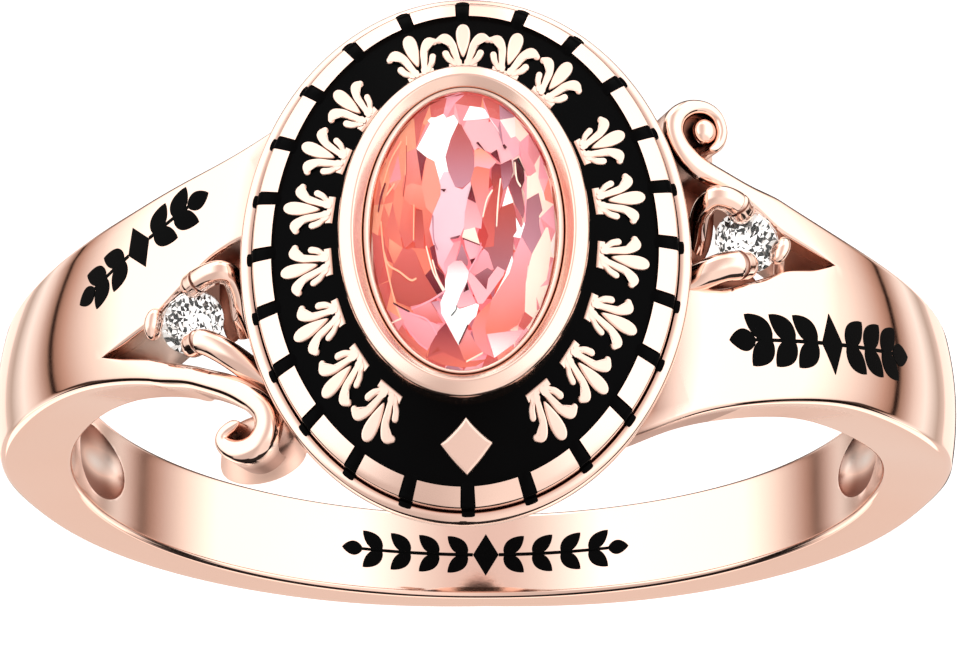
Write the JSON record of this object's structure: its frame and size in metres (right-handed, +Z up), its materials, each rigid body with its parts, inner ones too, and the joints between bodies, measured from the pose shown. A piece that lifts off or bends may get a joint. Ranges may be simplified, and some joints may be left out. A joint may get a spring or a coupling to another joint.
{
  "type": "birthstone ring",
  "caption": "Rose-gold ring with an oval stone in a collar, a black enamel field with raised ornament, and a small claw-set stone on each scrolled shoulder.",
  "frame": {"origin": "on the surface that the ring lies on, under the middle of its bounding box", "axes": "+Z up from the surface, -Y towards the head, +X across the ring; the finger hole's axis leans 13.3 degrees from +Z"},
  "size_m": [0.0204, 0.0214, 0.0108],
  "materials": {
    "metal": "polished",
    "enamel": "glossy",
    "centre_stone": "faceted",
    "side_stone": "faceted"
  },
  "bodies": {
    "root": {"ring_body": "metal", "enamel": "enamel", "centre_stone": "centre_stone", "side_stone_left": "side_stone", "side_stone_right": "side_stone"}
  },
  "joints": []
}
